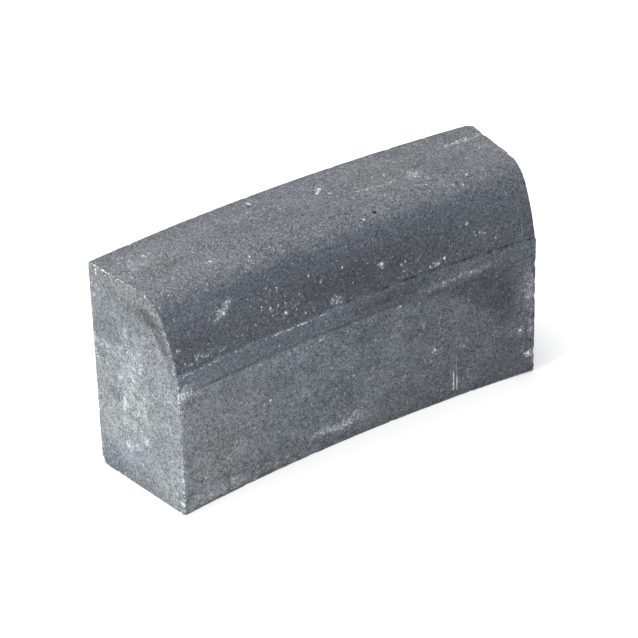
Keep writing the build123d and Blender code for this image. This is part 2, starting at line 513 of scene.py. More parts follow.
for e, at, cy_, cz_, reach, dep in CHIPS:
    ct = e * half_of(cy_) if e else at * (R_IN + cy_) / R_IN
    q = np.stack([P3[:, 0] - ct, y - cy_, z - cz_], 1)
    near = np.abs(q).max(1) < reach * 1.7
    if not near.any():
        continue
    qq = q[near]
    warp = np.stack([fbm(P3[near], reach * 0.7, 2, 50 + i) for i in range(3)], 1) * reach * 0.55
    dd = np.linalg.norm(qq + warp, axis=1) / reach
    fall = smooth(dd, 1.0, 0.25)
    i = int(np.argmin(np.hypot(rows[:, 0] - cy_, rows[:, 1] - cz_)))
    bt, br, bz = float(e), row_n[i, 0], row_n[i, 1]
    amount = np.zeros(NV)
    amount[near] = dep * fall * (0.8 + 0.5 * fbm(P3[near], 3.5, 2, 60))
    wear(amount, np.full(NV, bt), np.full(NV, br), np.full(NV, bz))

# the hidden underside of the skin follows its ends, so that it stays inside
under = tag == 6
if under.any():
    for e, k in ((-1, 0), (1, K - 1)):
        ids = np.array([[lid(kk, j) for j in range(1, L - 1)] for kk in range(K)])
        end_ids = ids[k]
        t_end = vt[end_ids]
        for kk in range(K):
            if kk == k:
                continue
            d_ = np.abs(dist_end[ids[kk]])
            near = (side[ids[kk]] == e)
            vt[ids[kk]] += np.where(near, t_end * np.exp(-(d_ / 7.0)), 0)

# to the row frame
R = R_IN + y
ct, st = np.cos(th), np.sin(th)
X = X0 + R * st + vt * ct + vr * st
Y = Y0 + R * ct - vt * st + vr * ct
Z = Z0 + z + vz
Z = np.maximum(Z, Z0 + np.where((tag == BED) | (z < 3), 0.0, -9))
co = np.stack([X, Y, Z], 1) / 1000.0

# ------------------------------------------------------------------ weathering maps, stored on the vertices
wob = lambda size, amp, seed: np.stack([fbm(P3, size, 3, seed), fbm(P3, size, 3, seed + 1)], 1) * amp


def blob(a, b, ca, cb, ra, rb, turn=0.0, warp=None):
    da, db = a - ca, b - cb
    if warp is not None:
        da, db = da + warp[:, 0], db + warp[:, 1]
    c_, s_ = math.cos(turn), math.sin(turn)
    return np.exp(-(((da * c_ + db * s_) / ra) ** 2 + ((-da * s_ + db * c_) / rb) ** 2))


def layer_up(mask, marks, a, b, warp):
    out, keep = np.zeros(NV), np.ones(NV)
    ids = np.where(mask)[0]
    w = warp[ids]
    for m in marks:
        ca, cb, ra, rb, amp = m[:5]
        turn = m[5] if len(m) > 5 else 0.0
        if max(ra, rb) < 4.5:  # single specks are drawn in the material; here they only leave a faint halo
            ra, rb, amp = ra * 1.3, rb * 1.3, amp * 0.5
        one = amp * blob(a[ids], b[ids], ca, cb, ra, rb, turn, w)
        out[ids] = np.maximum(out[ids], one)
        keep[ids] *= 1 - np.clip(one, 0, 1)
    return np.maximum(out, 0.35 * out + 0.65 * (1 - keep))  # marks that overlap run together


w8, w3 = wob(9.0, 7.0, 70), wob(4.0, 1.5, 74)
bloom = np.zeros(NV)   # pale lime bloom and crumbs
damp = np.zeros(NV)    # darker, wetter looking areas
dust = np.zeros(NV)    # warmer, greener cast
L_CAP, R_CAP = tag == 4, tag == 5
frontm, curvem, backm = tag == FRONT, tag == CURVE, tag == BACK

# left end: a broad pale column up the middle, crumbly rather than solid
bloom = np.maximum(bloom, layer_up(L_CAP, [
    (76, 108, 27, 62, 0.38), (78, 142, 20, 26, 0.20), (92, 99, 5.5, 14, 0.78), (93, 75, 4.8, 14, 0.62), (89, 46, 6, 6, 0.86), (60, 106, 5, 7, 0.60), (59, 65, 4.6, 8, 0.76), (76, 77, 5, 6, 0.42),
    (64, 149, 5, 7, 0.50), (78, 146, 9, 6, 0.46), (94, 129, 5, 4.6, 0.62), (84, 186, 4.6, 10, 0.78), (62, 169, 5, 6, 0.56), (101, 112, 5, 4, 0.40), (80, 170, 5, 6, 0.50), (96, 165, 5, 5, 0.50),
    (70, 107, 5, 5, 0.36), (76, 137, 5, 4, 0.40), (78, 50, 12, 4.6, 0.42), (60, 52, 10, 6, 0.26), (60, 39, 34, 6, 0.36), (90, 150, 5, 12, 0.34), (124, 158, 19, 7, 0.58), (138, 150, 4, 20, 0.62), (132, 138, 8, 10, 0.34),
    (127.5, 244, 2.2, 4, 0.9), (124, 223, 2.6, 2.6, 0.8), (128, 229, 10, 4.6, 0.30), (135, 215, 5, 6, 0.36), (18, 58, 22, 60, 0.10), (12, 150, 10, 12, 0.28), (22, 174, 6, 5, 0.32), (112, 62, 8, 10, 0.34),
    (48, 184, 4.6, 12, 0.28), (42, 203, 5, 7, 0.28), (30, 192, 5, 8, 0.24), (108, 241, 11, 5, 0.26), (87, 125, 8, 9, 0.34), (45, 182, 7, 12, 0.28), (88, 38, 8, 7, 0.30), (14, 38, 6, 7, 0.22), (14, 82, 9, 18, 0.24), (4, 14, 3, 5, 0.85), (3, 53, 3, 3, 0.70), (3, 25, 2, 12, 0.35), (15, 22, 16, 18, 0.32), (16, 38, 14, 8, 0.34)], y, z, w8 * 0.55))
damp = np.maximum(damp, layer_up(L_CAP, [
    (111, 104, 12, 8, 0.75), (120, 97, 4, 4, 0.5), (116, 181, 24, 17, 0.66), (44, 218, 14, 6.5, 1.15), (58, 219, 11, 5, 0.85), (67, 221, 9, 6, 0.50), (27, 205, 6, 10, 0.85), (19, 190, 4, 8, 0.50), (68, 202, 20, 8, 0.40), (80, 217, 10, 5, 0.30), (84, 217, 11, 5, 0.50), (78, 228, 14, 5, 0.26),
    (44, 211, 6, 5, 0.35), (14, 172, 7, 9, 0.45), (58, 222, 12, 7, 0.45), (40, 170, 16, 7, 0.26), (32, 60, 8, 10, 0.24), (40, 74, 6, 22, 0.34), (100, 16, 46, 14, 0.22), (125, 146, 5, 4, 0.35), (92, 168, 4, 3, 0.45), (110, 210, 18, 12, 0.18), (12, 178, 3, 12, 0.4), (8, 108, 12, 5, 0.2)], y, z, w8 * 0.6))
# right end: the same kind of marks, placed by chance
rngm = np.random.RandomState(17)
marks = [(rngm.uniform(20, 120), rngm.uniform(20, 220), rngm.uniform(4, 9), rngm.uniform(8, 30), rngm.uniform(0.20, 0.50)) for _ in range(16)]
marks += [(64, 92, 30, 60, 0.30), (58, 128, 9, 26, 0.34), (82, 70, 8, 22, 0.36), (70, 40, 20, 8, 0.30)]
bloom = np.maximum(bloom, layer_up(R_CAP, marks, y, z, w8 * 1.3))
marks = [(rngm.uniform(10, 130), rngm.uniform(10, 240), rngm.uniform(8, 22), rngm.uniform(8, 24), rngm.uniform(0.3, 0.6)) for _ in range(9)]
damp = np.maximum(damp, layer_up(R_CAP, marks, y, z, w8))
# back: broad veils, upright runs and a few thicker spots
marks = [(rngm.uniform(-230, 230), rngm.uniform(20, 220), rngm.uniform(26, 64), rngm.uniform(16, 44), rngm.uniform(0.16, 0.34), rngm.uniform(-0.4, 0.4)) for _ in range(12)]
marks += [(rngm.uniform(-235, 235), rngm.uniform(10, 230), rngm.uniform(4.6, 10), rngm.uniform(12, 46), rngm.uniform(0.14, 0.40), rngm.uniform(-0.12, 0.12)) for _ in range(44)]
marks += [(rngm.uniform(-230, 230), rngm.uniform(8, 235), rngm.uniform(4.6, 9), rngm.uniform(4.6, 12), rngm.uniform(0.34, 0.58), rngm.uniform(-0.8, 0.8)) for _ in range(16)]
bloom = np.maximum(bloom, layer_up(backm, marks, s, z, w8 * 1.8))
marks = [(rngm.uniform(-230, 230), rngm.uniform(0, 240), rngm.uniform(14, 60), rngm.uniform(8, 30), rngm.uniform(0.25, 0.6)) for _ in range(22)]
damp = np.maximum(damp, layer_up(backm, marks, s, z, w8 * 1.5))

# front face
bloom = np.maximum(bloom, layer_up(frontm, [
    (-34, 23.0, 34, 5.0, 0.52, 0.03), (-52, 24.5, 17, 4.6, 0.60), (-24, 21.0, 13, 5, 0.56), (-14, 21, 9, 5.5, 0.60), (-7, 29, 8, 6, 0.48, 0.6), (4, 30, 9, 8, 0.20), (14, 25, 12, 9, 0.14), (-18, 14, 12, 5, 0.30), (-47, 140, 2.2, 1.8, 0.85), (56, 143, 4, 1.8, 0.90, 0.2), (46, 142, 10, 4.6, 0.22), (-115, 92, 1.9, 1.9, 0.95),
    (-124, 90, 2.4, 1.6, 0.55), (-5, 79, 1.7, 1.7, 0.85), (102, 72, 2.4, 2.0, 0.85), (104, 69, 6, 5, 0.42), (105, 152.5, 32, 6.5, 0.38, 0.03), (156, 155.5, 34, 6.5, 0.42, 0.03),
    (138, 153, 52, 6, 0.16), (83, 99, 2.4, 1.8, 0.6), (214, 60, 8, 8, 0.42), (226, 26, 6, 4, 0.95), (227, 60, 6, 26, 0.46), (228, 112, 8, 24, 0.46), (224, 98, 9, 8, 0.36), (221, 128, 10, 14, 0.34), (232, 25, 2.5, 24, 0.6),
    (-229, 148, 9, 7, 0.95), (-231, 120, 4, 34, 0.45), (-232, 60, 3.0, 60, 0.45), (-224, 150, 14, 10, 0.5), (60, 52, 5, 1.8, 0.35), (140, 64, 2.4, 1.6, 0.45), (-135, 127, 2.4, 1.6, 0.45),
    (180, 68, 16, 3, 0.36, 0.6), (20, 36, 12, 3, 0.34, 0.6), (-196, 10, 56, 8, 0.52), (-180, 18, 46, 14, 0.32), (-120, 10, 40, 7, 0.34), (212, 57, 12, 14, 0.26), (-210, 56, 12, 16, 0.28), (-170, 60, 20, 16, 0.2), (-120, 140.5, 110, 3.2, 0.24), (60, 60, 60, 30, 0.17)], s, z, w3))
blotch = smooth((z + w8[:, 1]) - (147 - 0.76 * (s + w8[:, 0] - 104)), -5, 9) * smooth(s + w8[:, 0], 212, 198) * smooth(zl, 3.0, -1.0) * smooth(z, 66, 78) * smooth(s, 60, 110)
damp = np.maximum(damp, np.where(frontm, blotch * np.clip(0.90 + 0.9 * fbm(P3, 22, 3, 96), 0.3, 1.05), 0))
damp = np.maximum(damp, layer_up(frontm, [
    (162, 141, 38, 9, 1.1, -0.05), (104, 143.5, 24, 5, 0.95), (40, 157, 52, 8, 1.05), (62, 164, 42, 6, 0.9), (57, 159, 36, 6, 0.9), (178, 145, 26, 5, 0.8), (190, 84, 11, 10, 0.8), (-120, 159, 90, 9, 0.10), (-114, 163, 34, 7, 0.26), (-166, 116, 26, 13, 0.34), (2, 117, 16, 9, 0.42),
    (12, 121, 9, 7, 0.80), (22, 103, 8, 6, 0.45), (-90, 108, 12, 8, 0.28), (112, 34, 28, 12, 0.30), (196, 48, 26, 14, 0.50), (180, 26, 30, 10, 0.36), (70, 14, 60, 8, 0.30), (82, 64, 9, 16, 0.50), (70, 50, 7, 12, 0.42), (70, 30, 9, 5, 0.45), (96, 88, 6, 8, 0.35), (122, 60, 8, 10, 0.3),
    (10, 88, 16, 7, 0.34), (-150, 128, 30, 8, 0.22), (150, 84, 24, 12, 0.32), (68, 74, 12, 8, 0.34), (86, 62, 9, 9, 0.34), (-62, 112, 9, 6, 0.3), (140, 44, 10, 12, 0.35), (44, 34, 18, 9, 0.35), (-132, 118, 12, 8, 0.3), (-40, 76, 14, 7, 0.26), (40, 112, 10, 8, 0.3), (-96, 30, 14, 6, 0.24),
    (-20, 52, 14, 7, 0.22), (-110, 58, 12, 7, 0.2), (196, 84, 14, 8, 0.35), (-12, 148, 30, 4, 0.3)], s, z, w8))
dust = np.maximum(dust, layer_up(frontm, [(-190, 60, 55, 60, 0.8), (-150, 45, 40, 30, 0.5), (-138, 100, 22, 14, 0.6), (-60, 6, 150, 9, 0.4), (190, 8, 60, 8, 0.3), (-215, 140, 22, 14, 0.6)], s, z, w8))
dust = np.maximum(dust, layer_up(curvem, [(-180, 130, 60, 30, 0.5), (90, 134, 70, 22, 0.40)], s, u_, w8))

# flank, nose and top
bloom = np.maximum(bloom, layer_up(curvem, [
    (-160, 42, 6, 3.6, 0.50, 0.4), (-151, 49.5, 9, 3.6, 0.50, 0.45), (-172, 37, 9, 5, 0.48, 0.9), (-110, 76, 42, 8, 0.18), (-159, 45, 15, 9, 0.36, 0.6), (-208, 7, 18, 6, 0.26), (-186, 7, 14, 5, 0.22), (-225, 24, 5, 4, 0.5), (-178, 16, 2.4, 1.6, 0.6),
    (-87, 15, 2.6, 1.8, 1.0), (-104, 26, 1.5, 3.4, 0.95), (-114, 30, 1.5, 3.4, 0.85), (-126, 15, 1.8, 1.6, 0.8), (-91, 44, 1.4, 3.6, 0.9), (-103, 48, 1.5, 2.0, 0.7), (-95, 20, 20, 10, 0.30), (-73, 14, 1.4, 4, 0.6), (-66, 28, 3, 1.4, 0.5), (-38, 32, 2.2, 1.6, 0.85), (-8, 38, 1.8, 1.8, 0.85),
    (-50, 43, 1.6, 1.6, 0.8), (-22, 8, 12, 6.5, 0.38), (-27, 5, 6, 4, 0.34), (-18, 2, 8, 2, 0.42), (40, 26.5, 3.0, 3.0, 0.95), (40, 22, 4.0, 5, 0.30), (64, 18, 5, 3, 0.5), (70, 11, 4, 1.8, 0.55),
    (106, 7, 7, 3.4, 0.40), (117, 8, 2.4, 2.2, 0.92), (153, 38, 3, 2, 0.7), (167, 23, 10, 4, 0.34), (184, 13, 2.2, 2.2, 0.7), (-52, 8, 5, 3, 0.5), (-70, 20, 3, 5, 0.35),
    (80, 28, 6, 1.4, 0.4, 0.7), (-47, 172, 1.8, 3.0, 0.95, -0.5), (20, 144, 2.6, 2.4, 1.0), (26, 150, 3.2, 2.4, 1.05, 0.6), (23, 147, 6, 4.6, 0.5, 0.8), (30, 137, 2.6, 1.6, 0.8, 0.5), (48, 125, 4, 1.1, 0.7, -0.35),
    (57, 122, 5, 1.0, 0.6, -0.2), (66, 120, 1.7, 1.3, 0.9), (98, 136, 2.0, 1.6, 0.85), (125, 118, 12, 15, 0.52), (122, 124, 8, 6, 0.36), (36, 78, 2.4, 1.7, 0.75), (172, 90, 1.7, 1.7, 0.8), (162, 80, 2.4, 1.4, 0.8),
    (-105, 86, 1.8, 1.7, 0.8), (-188, 155, 2.4, 1.7, 0.6), (-145, 100, 3, 1.8, 0.6), (210, 156, 24, 6, 0.26), (224, 120, 8, 16, 0.35), (216, 132, 12, 2.4, 0.5, 0.5), (-10, 150, 1.7, 2.4, 0.55),
    (-48, 154, 44, 6, 0.26), (-208, 150, 34, 32, 0.34), (-195, 140, 26, 18, 0.16), (-113, 75, 3.4, 2.4, 0.55), (-74, 150, 10, 4, 0.26), (93, 118, 3, 1.7, 0.5), (180, 130, 14, 5, 0.28), (225, 165, 8, 6, 0.4),
    (0, 80, 200, 9, 0.14), (60, 92, 70, 12, 0.20), (-140, 92, 60, 14, 0.16)], s, u_, w3))
damp = np.maximum(damp, layer_up(curvem, [
    (60, 40, 80, 20, 0.45), (20, 20, 95, 18, 0.62), (-60, 52, 80, 16, 0.30), (-40, 30, 60, 16, 0.42), (130, 50, 50, 14, 0.35), (-120, 56, 40, 12, 0.22), (104, 132, 12, 9, 0.34), (186, 128, 14, 6, 0.36), (150, 108, 14, 5, 0.30), (-40, 128, 34, 9, 0.22), (-95, 132, 22, 8, 0.22), (30, 96, 26, 5, 0.22), (-10, 104, 18, 7, 0.18),
    (-175, 122, 30, 8, 0.35), (170, 128, 20, 6, 0.25), (-130, 178, 60, 6, 0.22), (0, 183, 200, 4, 0.35), (-150, 112, 24, 8, 0.2), (60, 105, 60, 6, 0.10), (215, 75, 20, 14, 0.3), (75, 142, 18, 6, 0.25), (-57, 119, 22, 14, 0.28), (-57, 92, 26, 8, 0.20)], s, u_, w8))

# how thickly the small white crumbs lie
crumbs = np.zeros(NV)
crumbs = np.maximum(crumbs, layer_up(curvem, [
    (-92, 26, 42, 22, 0.55), (-160, 45, 14, 9, 0.60), (-200, 8, 34, 8, 0.70), (-150, 12, 40, 9, 0.40), (-24, 7, 14, 7, 0.66), (-55, 8, 30, 6, 0.50), (42, 24, 10, 9, 0.5), (66, 14, 14, 9, 0.55),
    (108, 7, 26, 7, 0.62), (60, 4, 60, 4, 0.45), (170, 22, 30, 12, 0.42), (150, 40, 14, 9, 0.3), (-105, 44, 40, 12, 0.25), (0, 36, 60, 14, 0.22), (190, 12, 24, 8, 0.4), (0, 2, 240, 4, 0.30),
    (30, 146, 16, 12, 0.45), (75, 126, 44, 9, 0.40), (124, 118, 20, 20, 0.55), (206, 156, 34, 8, 0.75), (222, 136, 16, 12, 0.6), (-60, 158, 44, 9, 0.28), (-105, 84, 40, 8, 0.24), (10, 84, 80, 12, 0.22),
    (168, 86, 14, 10, 0.35), (-190, 150, 34, 14, 0.24), (0, 120, 240, 60, 0.05), (0, 30, 240, 40, 0.10)], s, u_, w8))
crumbs = np.maximum(crumbs, layer_up(frontm, [
    (-18, 24, 24, 10, 0.86), (-170, 60, 70, 60, 0.06), (102, 68, 10, 9, 0.45), (225, 90, 8, 60, 0.60), (-226, 148, 10, 10, 0.60), (-229, 60, 7, 70, 0.50), (50, 143, 14, 3, 0.45), (-120, 92, 16, 8, 0.3),
    (150, 154, 60, 6, 0.35), (190, 80, 34, 30, 0.16), (0, 80, 240, 90, 0.025), (-100, 168, 90, 4, 0.5), (60, 52, 40, 20, 0.08)], s, z, w8))
crumbs = np.maximum(crumbs, layer_up(L_CAP, [(80, 110, 24, 70, 0.55), (90, 45, 10, 10, 0.7), (70, 160, 18, 16, 0.6), (134, 150, 8, 24, 0.5), (127, 234, 8, 14, 0.5), (30, 100, 30, 80, 0.22), (20, 185, 20, 22, 0.25), (110, 70, 20, 40, 0.25)], y, z, w8))
crumbs = np.where(R_CAP, 0.10 + 0.75 * bloom, crumbs)
crumbs = np.where(backm, 0.05 + 0.8 * bloom, crumbs)

# arrises: thin broken pale lines where paste has rubbed off
thin = np.exp(-(e_dist / 0.95) ** 2)
edge_line = 0.72 * thin * smooth(fbm(P3, 20, 3, 81), 0.0, 0.35)
left_top = (th < 0) & (z > 246) & (y > 57)
edge_line = np.where(left_top, 0.74 * thin * (0.36 + 0.24 * smooth(fbm(P3, 13, 3, 82), -0.15, 0.2)) * (1 + 0.28 * smooth(y, 92, 100)) * smooth(y, 137, 130), edge_line)
left_front = (th < 0) & (y < 4) & (z < 160)
edge_line = np.where(left_front, thin * (0.24 + 0.42 * smooth(fbm(P3, 14, 3, 83), -0.25, 0.2)) * (1 - 0.5 * np.exp(-((z - 146) / 10) ** 2)), edge_line)
left_nose = (th < 0) & (z >= 165) & (y <= 52)
edge_line = np.where(left_nose, thin * (0.12 + 0.22 * smooth(fbm(P3, 12, 3, 84), -0.1, 0.35)), edge_line)
right_front = (th > 0) & (y < 4) & (z < 170)
edge_line = np.where(right_front, thin * (0.35 + 0.6 * smooth(fbm(P3, 14, 3, 87), -0.2, 0.25)), edge_line)
# the skin's cut end is darker where it is thickest, under the nose
line_z = np.interp(y, [p_[0] for p_ in LAYER_LINE] + [LAYER_FLAT_Y], [p_[1] for p_ in LAYER_LINE] + [CORE_Z])
in_skin = smooth(z - line_z, -2.0, 1.5)
wedge = np.where((L_CAP | R_CAP) & (z > 166) & (y < 72), smooth(d_out - 0.42 * np.clip(y - 25, 0, 40), 3.6, 7.6) * smooth(z, 238, 230) * smooth(y, 70, 56) * in_skin, 0)
wedge = wedge * np.clip(0.92 + 0.8 * fbm(P3, 9, 3, 95) - 0.75 * np.exp(-((y - 34) / 5) ** 2 - ((z - 212) / 5) ** 2) - 0.55 * np.exp(-((y - 34) / 7) ** 2 - ((z - 226) / 7) ** 2) - 0.25 * smooth(y, 34, 26), 0, 1) * (0.55 + 0.45 * smooth(z, 180, 198))
damp = np.maximum(damp, wedge)
low_blue = smooth(z + w8[:, 1], 66, 40) * smooth(y + w8[:, 0], 34, 52) * smooth(y, 132, 112)
dust = np.where(L_CAP | R_CAP, (0.84 - 0.62 * low_blue) * (1 - 0.25 * in_skin) * (1 - 0.7 * wedge), dust)
# on the left end the skin is paler in a narrow rim just inside the nose
rim = np.where((L_CAP | R_CAP) & (z > 168) & (y < 62), np.exp(-((d_out - 3.0) / 1.9) ** 2), 0)
bloom = np.maximum(bloom, 0.36 * rim * (0.8 + 0.5 * fbm(P3, 9, 2, 88)))
damp = damp * (1 - 0.75 * rim)
# painted highlight: bright lines along the crest of the seam's burr and along the seam, with a brighter spot at s -68
burr_highlight_line = np.where(seam, np.exp(-((z - 169.5) / 0.7) ** 2) * smooth(s, -135, -95) * smooth(s, -15, -45) * (0.50 + 0.9 * fbm(along, 9, 2, 85)), 0)
burr_highlight_line = np.maximum(burr_highlight_line, np.where(seam, np.exp(-((z - 169.1) / 0.8) ** 2) * np.exp(-((s + 68) / 10) ** 2) * 1.05, 0))
burr_highlight_line = np.maximum(burr_highlight_line, np.where(seam, 0.40 * np.exp(-((z - 169.2) / 1.1) ** 2) * smooth(s, -170, -215), 0))
burr_highlight_line = np.maximum(burr_highlight_line, np.where(seam, 0.48 * np.exp(-((z - 169.8) / 0.9) ** 2) * smooth(fbm(along, 12, 2, 86), -0.05, 0.35) * smooth(s, 150, -60), 0))
# overall tone over each face
x_ = s / 235.0
tone = np.ones(NV)
tone = np.where(frontm, 0.95 - 0.256 * x_, tone)
tone = np.where(frontm & (z < LAYER_Z + 1.5), tone * (1 - 0.14 * smooth(z, 16, 2) * smooth(s, -90, 40)), tone)
band_tone = (1.15 - 0.19 * x_) * (1 - 0.09 * np.exp(-((s + 80) / 26) ** 2)) * (1 - 0.12 * smooth(s, 148, 172) * smooth(s, 218, 202))
tone = np.where(frontm & (zl > -0.5), band_tone, tone)
tone = np.where(frontm & (zl < 0.5), tone * (1 + 0.17 * np.exp(-((s + 207) / 15) ** 2 - ((z - 141.5) / 6) ** 2)), tone)
cap_tone = 1.30 - 0.16 * smooth(z, 162, 212) - 0.12 * smooth(z, 32, 14) * smooth(y, 10, 50) - 0.20 * smooth(z, 17, 4) * smooth(y, 4, 40) + 0.06 * smooth(y, 45, 10) * smooth(z, 100, 30)
tone = np.where(L_CAP, cap_tone, tone)
nose_shade = np.where(L_CAP, 0.17 * blob(y, z, 45, 218, 15, 7.5, 0.0, w8 * 0.3) + 0.08 * blob(y, z, 66, 221, 9, 5, 0.0, w8 * 0.3) + 0.06 * blob(y, z, 68, 202, 18, 7, 0.0, w8 * 0.6), 0)
tone = tone * (1 - 0.24 * wedge) * (1 - nose_shade)
tone = np.where(R_CAP, 0.90 * cap_tone, tone)
tone = np.where(backm, 1.12, tone)
tone = np.where(curvem, (0.84 + 0.16 * smooth(u_, 22, 60)) * (1.0 - 0.03 * x_), tone)
flat_top = np.where(curvem, smooth(u_ + 3 * fbm(P3, 40, 2, 91), 63, 84), 0.0)
flat_top = np.where(L_CAP | R_CAP, 1.0, flat_top)
line147 = np.where(frontm, np.exp(-((zl + 0.5) / 1.6) ** 2) * smooth(s, 125, 20) * (0.70 + 0.6 * fbm(along, 22, 2, 92)), 0)
# painted shade: dark in the seam's ragged crease and in the inner corner where the ledge meets the flank
seam_crease_shade = np.where(seam, np.clip(1.7 * crease + (0.40 + 0.18 * smooth(s, 20, 70)) * np.exp(-((z - 171.7) / 0.9) ** 2) * smooth(fbm(along, 10, 2, 93), -0.3, 0.2), 0, 1), 0)
joint_line_and_crease_shade = np.maximum(line147 * 1.35, 1.3 * seam_crease_shade)



def at(s_, y_, z_):
    """Object-space point of the surface, metres."""
    a_ = s_ / R_IN
    return np.array([X0 + (R_IN + y_) * math.sin(a_), Y0 + (R_IN + y_) * math.cos(a_), Z0 + z_]) / 1000.0


def on_curve(s_, u):
    m = slice(seam_row, N_SKIN + 1)
    return at(s_, np.interp(u, row_u[m], rows[m, 0]), np.interp(u, row_u[m], rows[m, 1]))


CURVE_SPECKS = [  # position along, distance up from the seam, radius, strength
    (-47, 172, 1.7, 1.0), (-46, 169, 1.3, 0.9), (-48, 175, 1.0, 0.8), (20, 144.5, 2.0, 1.0), (23, 147, 1.4, 0.85), (27, 150.5, 2.2, 1.0), (30, 137, 1.6, 0.9), (27, 158, 1.0, 0.5),
    (66, 120, 1.4, 0.9), (95, 118, 1.3, 0.8), (98, 137, 1.5, 0.9), (35.5, 78, 1.6, 0.9), (31, 76, 1.0, 0.6), (172, 91, 1.4, 0.9), (162, 80, 1.3, 0.85), (-105, 86, 1.3, 0.8), (-188, 155, 1.7, 0.75), (-145, 100, 1.8, 0.7),
    (40, 26.5, 2.2, 1.0), (40, 22, 1.3, 0.5), (36, 27, 1.1, 0.5), (-160, 41, 2.1, 0.95), (-165, 40, 1.2, 0.45), (-154, 47, 1.3, 0.35), (-150, 50, 1.4, 0.4),
    (-87, 15, 1.9, 1.0), (-91, 44, 1.2, 0.9), (-91.5, 41, 1.0, 0.6), (-104, 26, 1.2, 0.9), (-104.5, 23, 1.0, 0.7), (-114, 31, 1.3, 0.7), (-115, 28, 1.1, 0.6), (-126, 16, 1.2, 0.7), (-128, 45, 1.0, 0.5), (-113, 46, 1.0, 0.5),
    (-103, 48, 1.1, 0.6), (-97, 30, 0.9, 0.6), (-107, 33, 0.9, 0.5), (-73, 14, 1.1, 0.7), (-74, 18, 0.9, 0.5), (-66, 28, 1.0, 0.6), (-50, 43, 1.2, 0.8), (-38, 32, 1.3, 0.85), (-36, 34, 1.0, 0.6), (-8, 38, 1.2, 0.85),
    (-12, 47, 0.9, 0.5), (-55, 15, 1.0, 0.6), (-27, 8, 1.5, 0.6), (-23, 4, 1.4, 0.6), (-18, 8, 1.2, 0.5), (-30, 5, 1.2, 0.5), (-24, 12, 1.0, 0.4), (63, 18, 1.3, 0.6), (69, 20, 1.1, 0.6), (66, 10, 1.2, 0.6), (72, 9, 1.1, 0.5),
    (117.5, 9, 1.7, 0.95), (106, 6, 1.2, 0.7), (103, 8, 1.1, 0.6), (110, 5, 1.1, 0.6), (98, 5, 1.1, 0.5), (153, 38, 1.6, 0.7), (160, 22, 1.2, 0.5), (166, 24, 1.2, 0.55), (172, 22, 1.3, 0.55), (184, 13, 1.3, 0.6), (186, 20, 1.1, 0.5),
    (190, 160, 0.9, 0.5), (199, 152, 1.1, 0.55), (213, 159, 1.1, 0.55), (222, 151, 0.9, 0.45), (229, 160, 1.1, 0.5), (216, 149, 0.9, 0.4), (205, 161, 0.9, 0.4), (194, 156, 1.2, 0.6), (210, 155, 1.3, 0.65),
    (-212, 5, 1.3, 0.7), (-205, 8, 1.2, 0.6), (-197, 7, 1.1, 0.6), (-220, 9, 1.1, 0.6), (-190, 6, 1.0, 0.5), (-226, 26, 1.3, 0.6), (-170, 6, 1.0, 0.6), (-150, 12, 1.0, 0.5),
]
FRONT_SPECKS = [  # position along, height, radius, strength
    (-115, 92, 1.9, 1.0), (-124, 91, 1.1, 0.5), (-48, 140, 1.7, 0.95), (-44, 140.5, 1.1, 0.6), (57, 143, 1.5, 0.9), (53, 142.5, 1.1, 0.5), (-5, 79, 1.4, 0.85), (102, 72, 2.1, 0.95), (106, 70, 1.2, 0.6), (99, 70, 1.2, 0.6),
    (104, 66, 1.0, 0.5), (83, 99, 1.3, 0.6), (140, 64, 1.5, 0.6), (214, 60, 2.0, 0.95), (225, 27, 2.4, 1.0), (221, 27, 1.5, 0.9), (228, 30, 1.3, 0.8), (60, 52, 1.3, 0.4),
    (-30, 20, 1.3, 0.55), (-26, 23, 1.2, 0.45), (-22, 18, 1.4, 0.7), (-17, 21, 1.6, 0.8), (-13, 26, 1.3, 0.6), (-9, 20, 1.4, 0.75), (-6, 29, 1.3, 0.6), (-2, 33, 1.2, 0.45), (0, 26, 1.2, 0.35), (3, 36, 1.1, 0.3),
    (-20, 26, 1.1, 0.45), (-12, 17, 1.2, 0.6), (-4, 22, 1.1, 0.4), (6, 30, 1.1, 0.25), (-38, 24, 1.1, 0.4),
]
END_SPECKS = [  # left end: distance from the front, height, radius, strength
    (127.5, 245, 1.6, 1.0), (127.2, 241, 1.3, 0.85), (124, 223, 1.5, 0.9), (128, 228, 1.1, 0.6), (121, 230, 1.0, 0.6), (113, 225, 1.0, 0.4), (130, 218, 0.9, 0.5), (90, 45, 1.6, 0.6), (93, 49, 1.3, 0.5), (59, 66, 1.6, 0.6),
    (59, 62, 1.2, 0.5), (92, 97, 1.4, 0.5), (92, 104, 1.4, 0.5), (98, 127, 1.4, 0.5), (83, 184, 1.3, 0.5), (64, 152, 1.3, 0.5), (2.5, 14, 1.9, 0.95), (2.0, 53, 1.3, 0.8),
]
ARC = [(47, 126.5), (56, 122.5), (66, 120.0), (80, 118.5), (95, 118.0)]
TOP_CRUMBS = [((183, 154.5), (203, 156.0)), ((207, 155.5), (221, 154.5)), ((224, 156.5), (234, 157.0))]
skin_marks = [(on_curve(a, b_), r_, k_) for a, b_, r_, k_ in CURVE_SPECKS] + [(at(-LEN, a, b_), r_, k_) for a, b_, r_, k_ in END_SPECKS if b_ > 210]
core_marks = [(at(a, 0, b_), r_, k_) for a, b_, r_, k_ in FRONT_SPECKS] + [(at(-LEN, a, b_), r_, k_) for a, b_, r_, k_ in END_SPECKS if b_ < 210]
skin_lines = [(on_curve(*a), on_curve(*b_), 0.7, 0.55) for a, b_ in zip(ARC, ARC[1:])] + [(on_curve(*a), on_curve(*b_), 1.4, 0.40) for a, b_ in TOP_CRUMBS]
skin_lines += [(at(-46, 0, 148), at(-38, 0, 161), 0.7, 0.32)]
NOSE_EDGE = [(28.0, 234.5), (22.0, 228.0), (16.5, 216.0), (11.8, 204.0), (7.3, 192.0), (4.2, 181.0), (2.4, 173.0)]
